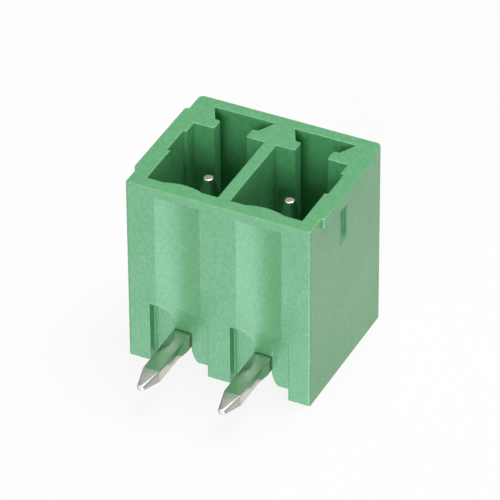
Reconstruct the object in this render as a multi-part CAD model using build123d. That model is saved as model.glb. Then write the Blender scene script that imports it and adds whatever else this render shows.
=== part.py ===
"""Right-angle pin header that a pluggable terminal block pushes onto, closed at both ends.

The header stands on its rear face, with the plug cells open upwards along +Z. X runs across the poles and
-Y is the side that sits on the circuit board. The origin is the centre of the rear face. Millimetres.
"""
import os

from build123d import *

# Overall
poles = 2
pitch = 3.81
end_reach = 2.405  # last pole to the outer side face
depth = 7.15  # board face to back face
length = 9.15  # rear face to rim
corner_radius = 0.25  # upright corners at the back
edge_radius = 0.1  # upright corners at the board face
rear_radius = 0.08  # round the rear face
rim_radius = 0.06  # outer edge of the rim
mouth_radius = 0.04  # inner edges of the rim, round the cells

# Plug cells
cell_depth = 6.25
end_wall = 0.70
front_wall = 0.66
back_wall = 0.58
partition = 0.58
bulge_width = 1.84  # rounded swelling of the front wall inside each cell
bulge_height = 0.18

# Keying ribs on the back wall, T-shaped in plan
rib_height = 1.45
arm_span = 2.32
arm_thickness = 0.62
arm_root = 0.04  # how much the arm thickens towards the stem
stem_width = 1.76  # where the stem meets the arm
stem_foot = 0.94  # where the stem meets the back wall
rib_rounding = 0.1

# Recess down the inner face of each end wall
wall_recess_width = 1.56
wall_recess_depth = 0.15
wall_recess_offset = 0.06  # its middle, behind the middle of the header

# Band round the rim on each outer side face
band_height = 0.5
band_proud = 0.17
band_length = 4.9
band_rounding = 0.14

# Pocket below the band in each outer side face, deepest at the steep wall that it ends in
pocket_depth = 0.18
pocket_length = 0.8
pocket_height = 1.72
pocket_slope = 0.3  # height over which it runs out, at the top and at the bottom
pocket_gap = 0.33  # below the band
pocket_offset = 0.02  # its steep wall, behind the middle of the header

# Flutes in the board face, one under each cell
flute_width = 2.1
flute_depth = 0.22
lip_height = 0.42  # plain rim above the flutes

# Foot recesses in the board face, where the pins come out
recess_width = 2.75
recess_height = 3.03
recess_depth = 0.42
neck_rise = 0.18  # pin's top to where the tongue under the flute starts to widen
rear_relief = 0.28  # shallow pocket in the rear face, behind each foot recess
rear_relief_length = 4.7
slot_flare = 0.28  # widening of the pin's slot at the rear, each side

# Pins
pin_width = 0.8
pin_stand = 3.03  # contact leg's centre above the board face
pin_rear = 1.0  # solder leg's underside above the rear face
root_thickness = 0.78
leg_thickness = 0.57
contact_gap = 1.0  # contact tip below the rim
solder_length = 3.65  # beyond the board face
thinning_length = 0.88
contact_taper = 1.2
solder_taper = 1.1
tip_width = 0.36
tip_thickness = 0.27  # solder tip
tip_rounding = 0.06
bend_radius = 0.3

# Places that follow from the sizes
width = (poles - 1) * pitch + 2 * end_reach
board_y = -depth / 2
back_y = depth / 2
pole_x = [pitch * (i - (poles - 1) / 2) for i in range(poles)]
rib_x = [pitch * (i - poles / 2) for i in range(poles + 1)]
cell_floor = length - cell_depth
pin_y = board_y + pin_stand
pin_top = pin_rear + root_thickness
flute_radius = (flute_depth**2 + (flute_width / 2) ** 2) / (2 * flute_depth)
bulge_radius = (bulge_height**2 + (bulge_width / 2) ** 2) / (2 * bulge_height)


def rib_outline():
    """Plan of one keying rib, its front face on the X axis and its stem running back along +Y into the wall."""
    arm = arm_span / 2
    with BuildSketch() as plan:
        with BuildLine():
            Polyline(
                (-arm, 0),
                (arm, 0),
                (arm, arm_thickness),
                (stem_width / 2, arm_thickness + arm_root),
                (stem_foot / 2, rib_height),
                (stem_foot / 2, rib_height + back_wall),
                (-stem_foot / 2, rib_height + back_wall),
                (-stem_foot / 2, rib_height),
                (-stem_width / 2, arm_thickness + arm_root),
                (-arm, arm_thickness),
                close=True,
            )
        make_face()
        corners = plan.vertices().filter_by(lambda v: v.Y < arm_thickness + arm_root / 2)
        fillet(corners, rib_rounding)
    return plan.sketch


def cell_openings():
    """Plan of the plug cells: one room, less the partitions, the keying ribs and the front wall's swellings."""
    cell_y = (board_y + front_wall + back_y - back_wall) / 2
    room_width = width - 2 * end_wall
    with BuildSketch() as plan:
        with Locations((0, cell_y)):
            Rectangle(room_width, depth - front_wall - back_wall)
        with Locations((0, wall_recess_offset)):
            Rectangle(room_width + 2 * wall_recess_depth, wall_recess_width)
        for x in rib_x[1:-1]:
            with Locations((x, 0)):
                Rectangle(partition, depth, mode=Mode.SUBTRACT)
        with Locations(*[(x, back_y - back_wall - rib_height) for x in rib_x]):
            add(rib_outline(), mode=Mode.SUBTRACT)
        with Locations(*[(x, board_y + front_wall + bulge_height - bulge_radius) for x in pole_x]):
            Circle(bulge_radius, mode=Mode.SUBTRACT)
    return plan.sketch


def side_pocket():
    """Cutter for the pocket in the right side face: a wedge in plan, which runs out at its top and bottom."""
    face = width / 2
    deep = face - pocket_depth
    top = length - band_height - pocket_gap
    with BuildPart() as cutter:
        with BuildSketch(Plane.XZ.offset(-pocket_offset)):
            Polygon(
                (face, top),
                (deep, top - pocket_slope),
                (deep, top - pocket_height + pocket_slope),
                (face, top - pocket_height),
                align=None,
            )
        extrude(amount=pocket_length)
        with BuildSketch(Plane.XY.offset(top)):
            Polygon((face, pocket_offset), (deep, pocket_offset), (face, pocket_offset - pocket_length), align=None)
        extrude(amount=-pocket_height, mode=Mode.INTERSECT)
    return cutter.part


def block():
    """Outer shape: an upright block, with a band along each side of the rim and a shallow pocket below it."""
    with BuildPart() as solid:
        with BuildSketch():
            Rectangle(width, depth)
            fillet(vertices().group_by(Axis.Y)[0], edge_radius)
            fillet(vertices().group_by(Axis.Y)[-1], corner_radius)
        extrude(amount=length)
        fillet(solid.faces().sort_by(Axis.Z)[0].edges(), rear_radius)
        with BuildSketch(Plane.XY.offset(length - band_height)):
            Rectangle(width, depth / 2)
            RectangleRounded(width + 2 * band_proud, band_length, band_rounding)
        extrude(amount=band_height)
        fillet(solid.faces().sort_by(Axis.Z)[-1].edges(), rim_radius)
        pocket = side_pocket()
        add(pocket, mode=Mode.SUBTRACT)
        add(mirror(pocket, about=Plane.YZ), mode=Mode.SUBTRACT)
    return solid.part


def tongue_outline():
    """Front view of the tongue under a flute: as wide as the flute at the top, narrowing to the pin."""
    half = pin_width / 2
    neck = pin_top + neck_rise
    with BuildSketch() as outline:
        with BuildLine():
            TangentArc((half, neck), (flute_width / 2, recess_height), tangent=(0, 1))
            TangentArc((-half, neck), (-flute_width / 2, recess_height), tangent=(0, 1))
            Line((-flute_width / 2, recess_height), (flute_width / 2, recess_height))
            Polyline((-half, neck), (-half, pin_top), (half, pin_top), (half, neck))
        make_face()
    return outline.sketch


def slot_outline():
    """Front view of the slot round a pin: pin-wide, with rounded edges that flare towards the rear face."""
    half = pin_width / 2
    mouth = half + slot_flare
    with BuildSketch() as outline:
        with BuildLine():
            Polyline((half, pin_rear), (half, pin_top), (-half, pin_top), (-half, pin_rear))
            TangentArc((-half, pin_rear), (-mouth, rear_relief), tangent=(0, -1))
            TangentArc((half, pin_rear), (mouth, rear_relief), tangent=(0, -1))
            Polyline((-mouth, rear_relief), (-mouth, 0), (mouth, 0), (mouth, rear_relief))
        make_face()
    return outline.sketch


def housing():
    """The green moulding."""
    front = Plane.XZ.offset(-board_y)
    with BuildPart() as solid:
        add(block())

        # Plug cells
        with BuildSketch(Plane.XY.offset(length)):
            add(cell_openings())
        extrude(amount=-cell_depth, mode=Mode.SUBTRACT)
        rim = solid.faces().sort_by(Axis.Z)[-1]
        fillet([edge for wire in rim.inner_wires() for edge in wire.edges()], mouth_radius)

        # Foot recesses, each with its tongue
        with BuildSketch(front):
            with Locations(*[(x, recess_height / 2) for x in pole_x]):
                Rectangle(recess_width, recess_height)
            with Locations(*[(x, 0) for x in pole_x]):
                add(tongue_outline(), mode=Mode.SUBTRACT)
        extrude(amount=-recess_depth, mode=Mode.SUBTRACT)

        # Flutes, upright above the foot recess and leaning inwards down the tongue
        with BuildSketch(Plane.XY.offset(recess_height)) as flutes:
            with Locations(*[(x, board_y + flute_depth - flute_radius) for x in pole_x]):
                Circle(flute_radius)
        extrude(amount=length - lip_height - recess_height, mode=Mode.SUBTRACT)
        lean = Vector(0, recess_depth - flute_depth, pin_top - recess_height)
        extrude(flutes.sketch, amount=lean.length, dir=lean.normalized(), mode=Mode.SUBTRACT)

        # Rear pockets and the channel of each pin
        with BuildSketch():
            with Locations(*[(x, board_y + rear_relief_length / 2) for x in pole_x]):
                Rectangle(recess_width, rear_relief_length)
        extrude(amount=rear_relief, mode=Mode.SUBTRACT)
        with BuildSketch(front):
            with Locations(*[(x, 0) for x in pole_x]):
                add(slot_outline())
        extrude(amount=-(pin_stand + pin_width / 2), mode=Mode.SUBTRACT)
        with BuildSketch(Plane.XY.offset(pin_top)):
            with Locations(*[(x, pin_y) for x in pole_x]):
                Rectangle(pin_width, pin_width)
        extrude(amount=cell_floor - pin_top, mode=Mode.SUBTRACT)
        for x in pole_x:
            add(Pos(x, 0, 0) * pin(), mode=Mode.SUBTRACT)
    return solid.part


def pin():
    """One square tinned pin at X = 0: contact leg up into the cell, solder leg out through the board face."""
    contact_shoulder = length - contact_gap - contact_taper
    solder_shoulder = board_y - solder_length + solder_taper
    leg_z = pin_top - leg_thickness / 2
    with BuildPart() as solid:
        # Bent blank, seen from the side
        with BuildSketch(Plane.YZ) as side:
            Polygon(
                (pin_y - pin_width / 2, contact_shoulder),
                (pin_y - pin_width / 2, pin_top),
                (solder_shoulder, pin_top),
                (solder_shoulder, pin_top - leg_thickness),
                (board_y - thinning_length, pin_top - leg_thickness),
                (board_y, pin_rear),
                (pin_y + pin_width / 2, pin_rear),
                (pin_y + pin_width / 2, contact_shoulder),
                align=None,
            )
            fillet(side.vertices().sort_by_distance((pin_y - pin_width / 2, pin_top))[0], bend_radius)
            outer_corner = side.vertices().sort_by_distance((pin_y + pin_width / 2, pin_rear))[0]
            fillet(outer_corner, bend_radius + root_thickness)
        extrude(amount=pin_width / 2, both=True)

        # Contact tip
        with BuildSketch(Plane.XY.offset(contact_shoulder)):
            with Locations((0, pin_y)):
                Rectangle(pin_width, pin_width)
        with BuildSketch(Plane.XY.offset(length - contact_gap)):
            with Locations((0, pin_y)):
                Rectangle(tip_width, tip_width)
        loft()
        fillet(solid.faces().sort_by(Axis.Z)[-1].edges(), tip_rounding)

        # Solder tip
        with BuildSketch(Plane.XZ.offset(-solder_shoulder)):
            with Locations((0, leg_z)):
                Rectangle(pin_width, leg_thickness)
        with BuildSketch(Plane.XZ.offset(solder_length - board_y)):
            with Locations((0, leg_z)):
                Rectangle(tip_width, tip_thickness)
        loft()
        fillet(solid.faces().sort_by(Axis.Y)[0].edges(), tip_rounding)
    return solid.part


if __name__ == "__main__":
    os.makedirs("parts", exist_ok=True)
    export_step(housing(), "parts/housing.step")
    for number, x in enumerate(pole_x, 1):
        export_step(Pos(x, 0, 0) * pin(), f"parts/pin_{number}.step")
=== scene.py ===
"""Looks of a right-angle terminal block header: a green moulded housing with two bent, tinned pins.

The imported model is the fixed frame. The housing keeps its solid and gets moulded plastic, and each pin is drawn again
as a square wire carried along its bend. Lengths are metres.
"""

import math

import bpy
import numpy as np
from mathutils import Matrix, Vector


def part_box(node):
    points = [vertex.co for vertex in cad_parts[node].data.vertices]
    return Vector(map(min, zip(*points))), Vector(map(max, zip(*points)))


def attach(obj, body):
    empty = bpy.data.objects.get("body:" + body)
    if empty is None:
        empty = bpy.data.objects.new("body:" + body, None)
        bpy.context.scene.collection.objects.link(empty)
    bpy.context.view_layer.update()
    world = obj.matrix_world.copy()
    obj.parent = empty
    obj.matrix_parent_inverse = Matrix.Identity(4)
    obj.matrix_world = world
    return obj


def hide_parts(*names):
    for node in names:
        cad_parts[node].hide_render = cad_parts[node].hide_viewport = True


bl_info = {
    "name": "Terminal Block Header",
    "version": (1, 0, 0),
    "blender": (4, 5, 0),
    "location": "3D View > Sidebar > Header",
    "description": "Finishes the moulded housing and the tinned pins, and sets up the studio",
    "category": "Object",
}

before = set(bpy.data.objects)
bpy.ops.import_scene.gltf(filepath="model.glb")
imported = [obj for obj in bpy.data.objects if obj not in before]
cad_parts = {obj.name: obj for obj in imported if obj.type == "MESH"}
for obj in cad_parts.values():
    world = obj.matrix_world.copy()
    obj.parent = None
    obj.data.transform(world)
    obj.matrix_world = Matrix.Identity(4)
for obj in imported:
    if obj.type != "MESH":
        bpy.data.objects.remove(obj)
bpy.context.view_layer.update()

MM = 0.001

# Whites of the floor and the surroundings
WHITE = (1.0, 1.0, 1.0)
WARM_WHITE = (1.0, 0.98, 0.94)
COOL_WHITE = (0.76, 0.86, 1.0)

# A glow starts where the cosine of the angle from its middle is the first value, and is full from the second one on
GLOW_CONE = (0.65, 0.95)

# From the origin to each lamp
LAMP_DISTANCE = 0.30


# Sizes and colours that a user would change


class HeaderPlastic(bpy.types.PropertyGroup):
    """Finish of the moulding."""

    body: bpy.props.FloatVectorProperty(
        name="Body colour", description="Main green of the plastic", subtype="COLOR", size=3, min=0, max=1,
        default=(0.106, 0.411, 0.167))
    shade: bpy.props.FloatVectorProperty(
        name="Shade colour", description="Deeper green that mottles the plastic", subtype="COLOR", size=3,
        min=0, max=1, default=(0.080, 0.355, 0.134))
    # Painted highlight: a paler green along the edges, standing in for the light that the edges catch.
    highlight_colour: bpy.props.FloatVectorProperty(
        name="Edge colour", description="Paler green where an edge has been rubbed", subtype="COLOR", size=3,
        min=0, max=1, default=(0.230, 0.540, 0.300))
    roughness: bpy.props.FloatProperty(
        name="Roughness", description="Roughness of the moulded surface", min=0, max=1, default=0.31)
    gloss: bpy.props.FloatProperty(
        name="Gloss", description="Strength of the moulded surface's sheen", min=0, max=1, default=1.0)
    grain: bpy.props.FloatProperty(
        name="Grain height", description="Height of the moulded surface's fine grain", unit="LENGTH", min=0,
        default=0.014 * MM)
    rounding: bpy.props.FloatProperty(
        name="Edge rounding", description="Radius to which the moulding's sharp edges are shaded", unit="LENGTH",
        min=0, default=0.07 * MM)


class HeaderPins(bpy.types.PropertyGroup):
    """Shape and finish of the pins."""

    tin: bpy.props.FloatVectorProperty(
        name="Tin colour", description="Colour of the plating", subtype="COLOR", size=3, min=0, max=1,
        default=(0.80, 0.775, 0.74))
    coined: bpy.props.FloatVectorProperty(
        name="Coined colour", description="Duller colour of the coined solder tips", subtype="COLOR", size=3, min=0,
        max=1, default=(0.36, 0.34, 0.33))
    roughness: bpy.props.FloatProperty(
        name="Roughness", description="Roughness of the plating", min=0, max=1, default=0.18)
    lines: bpy.props.FloatProperty(
        name="Line depth", description="Depth of the lines that drawing left along the wire", unit="LENGTH", min=0,
        default=0.0006 * MM)
    root: bpy.props.FloatProperty(
        name="Root thickness", description="Solder leg's thickness where it leaves the housing", unit="LENGTH",
        default=0.78 * MM)
    leg: bpy.props.FloatProperty(
        name="Leg thickness", description="Solder leg's thickness clear of the housing", unit="LENGTH",
        default=0.57 * MM)
    thinning: bpy.props.FloatProperty(
        name="Thinning length", description="Length over which the solder leg thins", unit="LENGTH",
        default=0.88 * MM)
    bend: bpy.props.FloatProperty(
        name="Bend radius", description="Inner radius of the right-angle bend", unit="LENGTH", default=0.3 * MM)
    contact_taper: bpy.props.FloatProperty(
        name="Contact taper", description="Length of the contact tip's taper", unit="LENGTH", default=1.2 * MM)
    solder_taper: bpy.props.FloatProperty(
        name="Solder taper", description="Length of the solder tip's taper", unit="LENGTH", default=1.1 * MM)
    contact_width: bpy.props.FloatProperty(
        name="Contact tip width", description="Width of the contact tip's end", unit="LENGTH", default=0.46 * MM)
    solder_width: bpy.props.FloatProperty(
        name="Solder tip width", description="Width of the solder tip's end", unit="LENGTH", default=0.36 * MM)
    solder_thickness: bpy.props.FloatProperty(
        name="Solder tip thickness", description="Thickness of the solder tip's end", unit="LENGTH",
        default=0.27 * MM)
    edge: bpy.props.FloatProperty(
        name="Edge rounding", description="Radius of the wire's long edges", unit="LENGTH", default=0.05 * MM)
    dome: bpy.props.FloatProperty(
        name="End rounding", description="Radius round the end of each tip", unit="LENGTH", default=0.06 * MM)
    slot_depth: bpy.props.FloatProperty(
        name="Slot depth", description="Board face to where the pin leaves its slot", unit="LENGTH",
        default=0.42 * MM)
    play: bpy.props.FloatProperty(
        name="Play", description="Gap round the pin inside its slot", unit="LENGTH", default=0.012 * MM)


class HeaderStage(bpy.types.PropertyGroup):
    """Floor, light and camera."""

    azimuth: bpy.props.FloatProperty(
        name="Azimuth", description="Camera's turn round the header, from the board side towards the right",
        subtype="ANGLE", default=math.radians(26.114))
    elevation: bpy.props.FloatProperty(
        name="Elevation", description="Camera's height above the horizon", subtype="ANGLE",
        default=math.radians(36.304))
    roll: bpy.props.FloatProperty(
        name="Roll", description="Camera's turn about its own line of sight", subtype="ANGLE",
        default=math.radians(-0.395))
    distance: bpy.props.FloatProperty(
        name="Distance", description="Camera to the point it aims at", unit="LENGTH", default=203.05 * MM)
    lens: bpy.props.FloatProperty(
        name="Lens", description="Focal length on a 36 mm sensor, in millimetres", default=341.8)
    aim: bpy.props.FloatVectorProperty(
        name="Aim", description="Point that the camera looks at", subtype="XYZ", unit="LENGTH", size=3,
        default=(-0.189 * MM, -0.099 * MM, 4.567 * MM))
    floor: bpy.props.FloatProperty(
        name="Floor size", description="Length of each side of the floor", unit="LENGTH", default=0.6)
    key: bpy.props.FloatProperty(
        name="Key light", description="Power of the low soft light in front, in watts", default=0.40)
    back: bpy.props.FloatProperty(
        name="Back light", description="Power of the high soft light behind, in watts", default=0.74)
    sky: bpy.props.FloatProperty(
        name="Surroundings", description="Brightness of the pale surroundings at the horizon", default=0.75)


# Meshes


def mesh_piece(name, vertices, faces, material, uv=None):
    """A mesh object at the origin, from an (n, 3) array of points and a list of faces, with one (u, v) per corner."""
    mesh = bpy.data.meshes.new(name)
    mesh.from_pydata(vertices, [], faces)
    if uv is not None:
        layer = mesh.uv_layers.new(name="along")
        layer.data.foreach_set("uv", uv[np.array([v for face in faces for v in face])].ravel())
    mesh.materials.append(material)
    mesh.shade_smooth()
    mesh.update()
    piece = bpy.data.objects.new(name, mesh)
    bpy.context.scene.collection.objects.link(piece)
    return piece


def wire_stations(size, low, high, board_y, pin_width):
    """Inner and outer edge of a bent wire at each station along it, seen from the side, with its half width.

    The inner edge comes down the front of the contact leg, round the bend and out along the top of the solder leg;
    the outer edge runs beside it. Both arcs are centre + radius * (cos, -sin) of an angle from 0 to 90 degrees.
    Each tip ends in a dome, whose edge is (tip - dome + dome * sin a, dome * cos a) from its shoulder.
    """
    front, back = high[1] - pin_width, high[1]
    top, under = low[2] + size.root, low[2]
    half, contact, solder = pin_width / 2, size.contact_width / 2, size.solder_width / 2
    solder_thick = size.solder_thickness / 2
    middle = (front + back) / 2
    crease = 0.012 * MM
    shoulder = high[2] - size.contact_taper
    ease = np.linspace(0, math.pi / 2, 5)
    drawn_in, drop = size.dome * (1 - np.sin(ease)), size.dome * (1 - np.cos(ease))

    turn = np.linspace(0, math.pi / 2, 13)
    inner_arc = np.stack([front - size.bend + size.bend * np.cos(turn), top + size.bend * (1 - np.sin(turn))], 1)
    outer = size.bend + size.root
    outer_arc = np.stack([back - outer + outer * np.cos(turn), under + outer * (1 - np.sin(turn))], 1)

    leg_top, leg_under = top, top - size.leg
    leg_middle = (leg_top + leg_under) / 2
    thin_y = board_y - size.thinning
    taper_y = low[1] + size.solder_taper

    slot_y = board_y + size.slot_depth
    inner = np.vstack([
        np.stack([middle - contact + drawn_in, high[2] - drop], 1),
        [(front + crease / 3, shoulder + crease), (front, shoulder - crease)],
        inner_arc - (0, size.play),
        [(slot_y + crease, top - size.play), (slot_y, top)],
        [(board_y + crease, top), (board_y - crease, top), (thin_y + crease, top), (thin_y - crease, top)],
        [(taper_y + crease, top), (taper_y - crease, top - crease / 6)],
        np.stack([low[1] + drop, leg_middle + solder_thick - drawn_in], 1)[::-1],
    ])
    outer = np.vstack([
        np.stack([middle + contact - drawn_in, high[2] - drop], 1),
        [(back - crease / 3, shoulder + crease), (back, shoulder - crease)],
        outer_arc,
        [(slot_y + crease, under), (slot_y, under)],
        [(board_y + crease, under), (board_y - crease, under + crease / 4)],
        [(thin_y + crease, leg_under - crease / 4), (thin_y - crease, leg_under)],
        [(taper_y + crease, leg_under), (taper_y - crease, leg_under + crease / 6)],
        np.stack([low[1] + drop, leg_middle - solder_thick + drawn_in], 1)[::-1],
    ])
    width = np.concatenate([
        contact - drawn_in,
        [half - crease / 3, half],
        np.full(len(turn) + 1, half - size.play),
        np.full(6, half),
        [half - crease / 6],
        (solder - drawn_in)[::-1],
    ])
    edge = np.full(len(width), size.edge)
    edge[:len(ease)], edge[-len(ease):] = contact, solder
    return inner, outer, width, edge


def bent_wire(name, x, inner, outer, width, edge, material):
    """A closed wire of rounded rectangular section carried along its stations.

    A section's point is centre + (across, over), where (across, over) is the corner (half width - edge, half
    thickness - edge) with its signs, plus edge * (cos a, sin a) as a goes once round. One cap closes each end.
    """
    steps = 7
    count = len(width)
    centre = (inner + outer) / 2
    out = inner - outer
    thick = np.linalg.norm(out, axis=1) / 2
    out = out / (2 * thick[:, None])
    corner = np.repeat(np.arange(4), steps)
    angle = corner * math.pi / 2 + np.tile(np.linspace(0, math.pi / 2, steps), 4)
    side = np.array([[1, 1], [-1, 1], [-1, -1], [1, -1]])[corner]
    radius = np.minimum(edge, 0.95 * np.minimum(width, thick))[:, None]
    across = side[:, 0] * (width[:, None] - radius) + radius * np.cos(angle)
    over = side[:, 1] * (thick[:, None] - radius) + radius * np.sin(angle)

    points = np.empty((count, 4 * steps, 3))
    points[..., 0] = x + across
    points[..., 1] = centre[:, None, 0] + over * out[:, None, 0]
    points[..., 2] = centre[:, None, 1] + over * out[:, None, 1]

    around = np.arange(4 * steps)
    beside = np.roll(around, -1)
    first = (np.arange(count - 1) * 4 * steps)[:, None]
    quads = np.stack([first + around, first + beside, first + beside + 4 * steps, first + around + 4 * steps], 2)
    faces = quads.reshape(-1, 4).tolist()
    faces.append(around[::-1].tolist())
    faces.append((around + (count - 1) * 4 * steps).tolist())

    travel = np.concatenate([[0], np.cumsum(np.linalg.norm(np.diff(centre, axis=0), axis=1))])
    girth = np.cumsum(np.linalg.norm(np.diff(points[count // 2], axis=0, prepend=points[count // 2, :1]), axis=1))
    uv = np.stack(np.broadcast_arrays(girth[None, :] / MM, travel[:, None] / MM), 2).reshape(-1, 2)
    piece = mesh_piece(name, points.reshape(-1, 3), faces, material, uv)
    even = piece.modifiers.new("even shading", "WEIGHTED_NORMAL")
    even.weight = 100
    return piece


# Materials


def feed(tree, socket, value):
    """Links an input to another node's output, or sets its value."""
    if isinstance(value, bpy.types.NodeSocket):
        tree.links.new(value, socket)
    else:
        socket.default_value = value


def group_node(tree, group, **values):
    """Places a node group in a material's tree and feeds its inputs by name."""
    node = tree.nodes.new("ShaderNodeGroup")
    node.node_tree = group
    for name, value in values.items():
        feed(tree, node.inputs[name.replace("_", " ").capitalize()], value)
    return node


def math_node(tree, operation, first, second):
    """A Math node of that operation on two outputs or numbers. Returns its result."""
    node = tree.nodes.new("ShaderNodeMath")
    node.operation = operation
    feed(tree, node.inputs[0], first)
    feed(tree, node.inputs[1], second)
    return node.outputs[0]


def vector_node(tree, operation, first, second=None):
    """A Vector Math node of that operation on outputs or vectors. Returns its result, a number or a vector."""
    node = tree.nodes.new("ShaderNodeVectorMath")
    node.operation = operation
    feed(tree, node.inputs[0], first)
    if second is not None:
        feed(tree, node.inputs[1], second)
    return node.outputs["Value" if operation in ("DOT_PRODUCT", "LENGTH") else "Vector"]


def new_group(name, inputs, outputs):
    """An empty shader node group with those sockets, given as (name, kind, default). Returns tree, input, output."""
    tree = bpy.data.node_groups.new(name, "ShaderNodeTree")
    for label, kind, default in inputs:
        socket = tree.interface.new_socket(name=label, in_out="INPUT", socket_type=kind)
        if default is not None:
            socket.default_value = default
    for label, kind in outputs:
        tree.interface.new_socket(name=label, in_out="OUTPUT", socket_type=kind)
    return tree, tree.nodes.new("NodeGroupInput"), tree.nodes.new("NodeGroupOutput")


def edge_mask_group():
    """Edge highlight: the normal rounded over the edges, and how far it leans, spread by noise, as a mask from 0 to 1
    for a painted highlight.
    """
    tree, given, result = new_group(
        "edge wear",
        [("Radius", "NodeSocketFloat", 0.06 * MM), ("Strength", "NodeSocketFloat", 1.0),
         ("Patch scale", "NodeSocketFloat", 1500.0), ("Vector", "NodeSocketVector", None)],
        [("Mask", "NodeSocketFloat"), ("Normal", "NodeSocketVector")])
    bevel = tree.nodes.new("ShaderNodeBevel")
    bevel.samples = 6
    tree.links.new(given.outputs["Radius"], bevel.inputs["Radius"])
    surface = tree.nodes.new("ShaderNodeNewGeometry")
    upright = vector_node(tree, "DOT_PRODUCT", bevel.outputs["Normal"], surface.outputs["True Normal"])
    lean = math_node(tree, "SUBTRACT", 1.0, upright)
    patch = tree.nodes.new("ShaderNodeTexNoise")
    tree.links.new(given.outputs["Vector"], patch.inputs["Vector"])
    tree.links.new(given.outputs["Patch scale"], patch.inputs["Scale"])
    patch.inputs["Detail"].default_value = 3.0
    spread = math_node(tree, "MULTIPLY", lean, math_node(tree, "ADD", patch.outputs["Fac"], 0.4))
    strong = math_node(tree, "MULTIPLY", spread, given.outputs["Strength"])
    clamp = tree.nodes.new("ShaderNodeClamp")
    tree.links.new(strong, clamp.inputs["Value"])
    tree.links.new(clamp.outputs["Result"], result.inputs["Mask"])
    tree.links.new(bevel.outputs["Normal"], result.inputs["Normal"])
    return tree


def grain_group():
    """Surface grain: fine noise for the height, and a slow drift for colour and roughness, all from 0 to 1."""
    tree, given, result = new_group(
        "grain",
        [("Vector", "NodeSocketVector", None), ("Grain scale", "NodeSocketFloat", 9000.0),
         ("Drift scale", "NodeSocketFloat", 350.0)],
        [("Height", "NodeSocketFloat"), ("Drift", "NodeSocketFloat")])
    fine = tree.nodes.new("ShaderNodeTexNoise")
    fine.inputs["Detail"].default_value = 2.0
    fine.inputs["Roughness"].default_value = 0.6
    slow = tree.nodes.new("ShaderNodeTexNoise")
    slow.inputs["Detail"].default_value = 4.0
    slow.inputs["Roughness"].default_value = 0.55
    for noise, label in ((fine, "Grain scale"), (slow, "Drift scale")):
        tree.links.new(given.outputs["Vector"], noise.inputs["Vector"])
        tree.links.new(given.outputs[label], noise.inputs["Scale"])
    tree.links.new(fine.outputs["Fac"], result.inputs["Height"])
    tree.links.new(slow.outputs["Fac"], result.inputs["Drift"])
    return tree


def shared_group(name, build):
    """The named node group, built the first time that it is asked for."""
    return bpy.data.node_groups.get(name) or build()


def ramp(tree, factor, low, high, start, end):
    """Maps a value from low..high to start..end, clamped. Returns the result."""
    node = tree.nodes.new("ShaderNodeMapRange")
    tree.links.new(factor, node.inputs["Value"])
    for label, value in (("From Min", low), ("From Max", high), ("To Min", start), ("To Max", end)):
        node.inputs[label].default_value = value
    return node.outputs["Result"]


def mix_value(tree, factor, first, second):
    """Mixes two outputs or numbers. Returns the result."""
    node = tree.nodes.new("ShaderNodeMix")
    node.data_type = "FLOAT"
    for label, value in (("Factor", factor), ("A", first), ("B", second)):
        feed(tree, node.inputs[label], value)
    return node.outputs["Result"]


def mix_colour(tree, factor, first, second):
    """Mixes two colours, given as outputs or (r, g, b). Returns the result."""
    node = tree.nodes.new("ShaderNodeMix")
    node.data_type = "RGBA"
    feed(tree, node.inputs["Factor"], factor)
    for label, value in (("A", first), ("B", second)):
        feed(tree, node.inputs[label], value if isinstance(value, bpy.types.NodeSocket) else (*value, 1.0))
    return node.outputs["Result"]


def mix_shader(tree, factor, first, second):
    """Mixes two shaders. Returns the result."""
    node = tree.nodes.new("ShaderNodeMixShader")
    for socket, value in zip(node.inputs, (factor, first, second)):
        tree.links.new(value, socket)
    return node.outputs["Shader"]


def bump(tree, height, distance, normal):
    """A Bump node fed by a height and a normal. Returns its own normal."""
    node = tree.nodes.new("ShaderNodeBump")
    node.inputs["Distance"].default_value = distance
    tree.links.new(height, node.inputs["Height"])
    tree.links.new(normal, node.inputs["Normal"])
    return node.outputs["Normal"]


def new_material(name):
    """A new node material. Returns it, its tree and its Principled shader."""
    material = bpy.data.materials.new(name)
    material.use_nodes = True
    tree = material.node_tree
    return material, tree, tree.nodes["Principled BSDF"]


def moulded_plastic(look):
    """Spark-eroded moulded plastic: fine grain, a mottled tone that also drifts slowly, and a paler highlight painted
    on the edges.
    """
    material, tree, shader = new_material("moulded plastic")
    vector = tree.nodes.new("ShaderNodeTexCoord").outputs["Object"]
    grain = group_node(tree, shared_group("grain", grain_group), vector=vector, grain_scale=9000.0, drift_scale=260.0)
    mottle = group_node(tree, shared_group("grain", grain_group), vector=vector, grain_scale=5500.0)
    highlight = group_node(tree, shared_group("edge wear", edge_mask_group), vector=vector, radius=look.rounding,
                      strength=3.0, patch_scale=1800.0)

    drift = ramp(tree, grain.outputs["Drift"], 0.32, 0.68, 0.2, 0.8)
    specks = ramp(tree, mottle.outputs["Height"], 0.25, 0.75, -1.0, 1.0)
    tone = mix_colour(tree, math_node(tree, "ADD", drift, specks), look.body, look.shade)
    # The paler edge colour is a painted highlight along the edges.
    tree.links.new(mix_colour(tree, highlight.outputs["Mask"], tone, look.highlight_colour), shader.inputs["Base Color"])
    rough = ramp(tree, grain.outputs["Drift"], 0.3, 0.7, look.roughness - 0.05, look.roughness + 0.05)
    # The edges are also rougher, along the same mask as the painted highlight.
    rubbed = math_node(tree, "MULTIPLY", highlight.outputs["Mask"], 0.3)
    tree.links.new(math_node(tree, "ADD", rough, rubbed), shader.inputs["Roughness"])
    shader.inputs["Specular IOR Level"].default_value = look.gloss
    shader.inputs["IOR"].default_value = 1.58
    tree.links.new(bump(tree, grain.outputs["Height"], look.grain, highlight.outputs["Normal"]), shader.inputs["Normal"])
    return material


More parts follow.
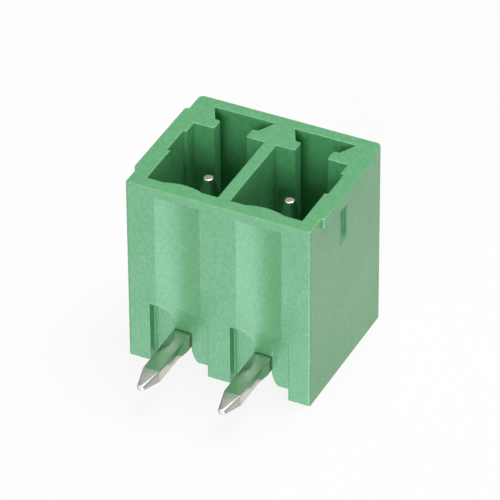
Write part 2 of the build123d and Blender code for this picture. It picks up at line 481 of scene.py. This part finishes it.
def tinned_metal(look):
    """Tin plating on drawn wire: lines along the wire, duller coined solder tips, and a lighter highlight painted on
    the edges.
    """
    material, tree, shader = new_material("tinned metal")
    along = tree.nodes.new("ShaderNodeUVMap")
    along.uv_map = "along"
    stretched = tree.nodes.new("ShaderNodeMapping")
    stretched.inputs["Scale"].default_value = (1.0, 0.06, 1.0)
    tree.links.new(along.outputs["UV"], stretched.inputs["Vector"])
    lines = tree.nodes.new("ShaderNodeTexNoise")
    lines.inputs["Scale"].default_value = 22.0
    lines.inputs["Detail"].default_value = 3.0
    tree.links.new(stretched.outputs["Vector"], lines.inputs["Vector"])

    vector = tree.nodes.new("ShaderNodeTexCoord").outputs["Object"]
    grain = group_node(tree, shared_group("grain", grain_group), vector=vector, grain_scale=6000.0, drift_scale=900.0)
    highlight = group_node(tree, shared_group("edge wear", edge_mask_group), vector=vector, radius=look.edge, strength=1.2,
                      patch_scale=2500.0)

    dull = tuple(0.86 * channel for channel in look.tin)
    # Lighter tin for a painted highlight along the edges.
    highlight_tin = tuple(min(1.0, 1.16 * channel) for channel in look.tin)
    position = tree.nodes.new("ShaderNodeSeparateXYZ")
    tree.links.new(vector, position.inputs["Vector"])
    taper_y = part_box("pin_1")[0][1] + look.solder_taper
    coined = ramp(tree, position.outputs["Y"], taper_y, taper_y - 0.1 * MM, 0.0, 1.0)
    drawn = mix_colour(tree, ramp(tree, grain.outputs["Drift"], 0.35, 0.65, 0.0, 1.0), look.tin, dull)
    tone = mix_colour(tree, coined, drawn, mix_colour(tree, lines.outputs["Fac"], look.coined, drawn))
    # The edges get the lighter tin as a painted highlight.
    tree.links.new(mix_colour(tree, highlight.outputs["Mask"], tone, highlight_tin), shader.inputs["Base Color"])
    shader.inputs["Metallic"].default_value = 1.0
    smooth = ramp(tree, lines.outputs["Fac"], 0.3, 0.7, look.roughness - 0.04, look.roughness + 0.05)
    coarser = math_node(tree, "MULTIPLY", coined, 0.2)
    tree.links.new(math_node(tree, "ADD", smooth, coarser), shader.inputs["Roughness"])
    height = math_node(tree, "ADD", lines.outputs["Fac"], math_node(tree, "MULTIPLY", grain.outputs["Height"], 0.4))
    tree.links.new(bump(tree, height, look.lines, highlight.outputs["Normal"]), shader.inputs["Normal"])
    return material


def unit_vector(azimuth, elevation):
    """The unit vector to (azimuth, elevation) in degrees. Azimuth 0 is the board side, 90 the right."""
    around, up = math.radians(azimuth), math.radians(elevation)
    return Vector((math.sin(around) * math.cos(up), -math.cos(around) * math.cos(up), math.sin(up)))


def towards(tree, vector, azimuth, elevation=0):
    """How far a unit vector points to (azimuth, elevation) in degrees, from -1 to 1."""
    return vector_node(tree, "DOT_PRODUCT", vector, unit_vector(azimuth, elevation))


def pale_floor():
    """White floor: mostly plain white to the camera, with the header's soft shadow. Reflections see it as pale, and
    through it the surroundings under the horizon, most of all close to the header."""
    material, tree, shader = new_material("pale floor")
    shader.inputs["Base Color"].default_value = (0.86, 0.86, 0.86, 1.0)
    shader.inputs["Roughness"].default_value = 0.9
    shader.inputs["Specular IOR Level"].default_value = 0.0

    path = tree.nodes.new("ShaderNodeLightPath")
    seen, glossy = path.outputs["Is Camera Ray"], path.outputs["Is Glossy Ray"]
    white = tree.nodes.new("ShaderNodeEmission")
    tree.links.new(mix_colour(tree, glossy, WHITE, WARM_WHITE), white.inputs["Color"])
    tree.links.new(mix_value(tree, seen, mix_value(tree, glossy, 0.5, 0.72), 1.0), white.inputs["Strength"])

    away = vector_node(tree, "LENGTH", tree.nodes.new("ShaderNodeNewGeometry").outputs["Position"])
    clear = math_node(tree, "MULTIPLY", glossy, ramp(tree, away, 5 * MM, 14 * MM, 1.0, 0.55))
    nothing = tree.nodes.new("ShaderNodeBsdfTransparent")
    pale = mix_shader(tree, clear, white.outputs["Emission"], nothing.outputs["BSDF"])

    mirrored = math_node(tree, "MAXIMUM", glossy, path.outputs["Is Transmission Ray"])
    share = mix_value(tree, seen, mix_value(tree, mirrored, 0.6, 0.75), 0.85)
    floor = mix_shader(tree, share, shader.outputs["BSDF"], pale)
    tree.links.new(floor, tree.nodes["Material Output"].inputs["Surface"])
    return material


# Operators


class HEADER_OT_housing(bpy.types.Operator):
    """Gives the moulding its plastic, which shades its sharp edges as rounded"""

    bl_idname = "header.housing"
    bl_label = "Finish Housing"

    def execute(self, context):
        look = context.scene.header_plastic
        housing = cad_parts["housing"]
        material = moulded_plastic(look)
        for place in housing.material_slots:
            place.material = material
        return {"FINISHED"}


class HEADER_OT_pins(bpy.types.Operator):
    """Draws each pin as a square wire carried along its bend, in the place of its solid"""

    bl_idname = "header.pins"
    bl_label = "Make Pins"

    def execute(self, context):
        size = context.scene.header_pins
        material = tinned_metal(size)
        board_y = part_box("housing")[0][1]
        for node in sorted(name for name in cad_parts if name.startswith("pin_")):
            low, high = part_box(node)
            outline = wire_stations(size, low, high, board_y, high[0] - low[0])
            wire = bent_wire(f"wire_{node}", (low[0] + high[0]) / 2, *outline, material)
            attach(wire, "root")
            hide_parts(node)
        return {"FINISHED"}


class HEADER_OT_stage(bpy.types.Operator):
    """Lays the floor and sets up the soft lights, the pale surroundings and the camera"""

    bl_idname = "header.stage"
    bl_label = "Set Up Stage"

    def execute(self, context):
        stage = context.scene.header_stage
        self.floor(stage)
        self.surroundings(context.scene, stage.sky)
        self.light("key light", stage.key, (10, 20), (0.16, 0.10))
        self.light("back light", stage.back, (150, 72), (0.22, 0.22))
        self.camera(context.scene, stage)
        context.scene.view_settings.view_transform = "Standard"
        return {"FINISHED"}

    def floor(self, stage):
        """A flat square grid of points (u, v, 0), with u and v each from minus to plus half the size."""
        count = 9
        steps = np.linspace(-stage.floor / 2, stage.floor / 2, count)
        u, v = np.meshgrid(steps, steps)
        points = np.stack([u, v, np.zeros_like(u)], 2).reshape(-1, 3)
        index = np.arange(count * count).reshape(count, count)
        corners = (index[:-1, :-1], index[:-1, 1:], index[1:, 1:], index[1:, :-1])
        faces = np.stack(corners, 2).reshape(-1, 4).tolist()
        mesh_piece("floor", points, faces, pale_floor())

    def surroundings(self, scene, strength):
        """White to the camera, and dimmer at the top for plain light. Reflections see a glow at the front left and,
        under the horizon, a cool glow in front and a pale tone that is dimmer on the left than on the right."""
        world = bpy.data.worlds.new("pale surroundings")
        world.use_nodes = True
        tree = world.node_tree
        direction = tree.nodes.new("ShaderNodeTexCoord").outputs["Generated"]
        upward = towards(tree, direction, 0, 90)
        under = math_node(tree, "LESS_THAN", upward, 0.0)
        bearing = vector_node(tree, "NORMALIZE", vector_node(tree, "MULTIPLY", direction, (1.0, 1.0, 0.0)))
        path = tree.nodes.new("ShaderNodeLightPath")
        seen, glossy = path.outputs["Is Camera Ray"], path.outputs["Is Glossy Ray"]
        first = math_node(tree, "LESS_THAN", path.outputs["Glossy Depth"], 1.5)

        high_glow = math_node(tree, "MULTIPLY", first,
                              ramp(tree, towards(tree, direction, -30, 45), *GLOW_CONE, 0.0, 1.2))
        low_glow = math_node(tree, "MULTIPLY", first, ramp(tree, towards(tree, bearing, 12), *GLOW_CONE, 0.0, 4.1))
        low_tone = ramp(tree, towards(tree, bearing, 90), -1.0, 1.0, 0.66, 0.98)
        mirrored = mix_value(tree, under, math_node(tree, "ADD", high_glow, 0.38),
                             math_node(tree, "ADD", low_glow, low_tone))
        lit = ramp(tree, upward, 0.15, 0.5, strength, 0.3 * strength)
        level = mix_value(tree, seen, mix_value(tree, glossy, lit, mirrored), 1.0)

        tint = mix_colour(tree, low_glow, WARM_WHITE, COOL_WHITE)
        colour = mix_colour(tree, math_node(tree, "MULTIPLY", under, glossy), WHITE, tint)
        background = tree.nodes["Background"]
        tree.links.new(colour, background.inputs["Color"])
        tree.links.new(level, background.inputs["Strength"])
        scene.world = world

    def light(self, name, power, direction, size):
        """A soft light, (width, height) in size, that faces the header from (azimuth, elevation) in degrees."""
        lamp = bpy.data.lights.new(name, "AREA")
        lamp.energy = power
        lamp.shape = "RECTANGLE"
        lamp.size, lamp.size_y = size
        piece = bpy.data.objects.new(name, lamp)
        out = unit_vector(*direction)
        piece.location = out * LAMP_DISTANCE
        piece.rotation_euler = out.to_track_quat("Z", "Y").to_euler()
        bpy.context.scene.collection.objects.link(piece)

    def camera(self, scene, stage):
        """The camera stands back from its aim along (azimuth, elevation), then rolls about its line of sight."""
        back = unit_vector(math.degrees(stage.azimuth), math.degrees(stage.elevation))
        right = Vector((math.cos(stage.azimuth), math.sin(stage.azimuth), 0))
        up = back.cross(right)
        turned = Matrix((right, up, back)).transposed() @ Matrix.Rotation(stage.roll, 3, "Z")
        lens = bpy.data.cameras.new("camera")
        lens.lens = stage.lens
        lens.clip_start = 0.01
        eye = bpy.data.objects.new("camera", lens)
        eye.matrix_world = Matrix.Translation(Vector(stage.aim) + back * stage.distance) @ turned.to_4x4()
        scene.collection.objects.link(eye)
        scene.camera = eye


class HEADER_PT_panel(bpy.types.Panel):
    """Lists the header's sizes and colours, and its steps"""

    bl_idname = "HEADER_PT_panel"
    bl_label = "Terminal Block Header"
    bl_space_type = "VIEW_3D"
    bl_region_type = "UI"
    bl_category = "Header"

    def draw(self, context):
        for step, group in ((HEADER_OT_housing, "header_plastic"), (HEADER_OT_pins, "header_pins"),
                            (HEADER_OT_stage, "header_stage")):
            box = self.layout.box()
            settings = getattr(context.scene, group)
            for name in settings.__annotations__:
                box.prop(settings, name)
            box.operator(step.bl_idname)


GROUPS = {"header_plastic": HeaderPlastic, "header_pins": HeaderPins, "header_stage": HeaderStage}
CLASSES = (*GROUPS.values(), HEADER_OT_housing, HEADER_OT_pins, HEADER_OT_stage, HEADER_PT_panel)


def register():
    for cls in CLASSES:
        bpy.utils.register_class(cls)
    for name, group in GROUPS.items():
        setattr(bpy.types.Scene, name, bpy.props.PointerProperty(type=group))


def unregister():
    for name in GROUPS:
        delattr(bpy.types.Scene, name)
    for cls in reversed(CLASSES):
        bpy.utils.unregister_class(cls)


def main():
    register()
    bpy.ops.header.stage()
    bpy.ops.header.housing()
    bpy.ops.header.pins()


if __name__ == "__main__":
    main()
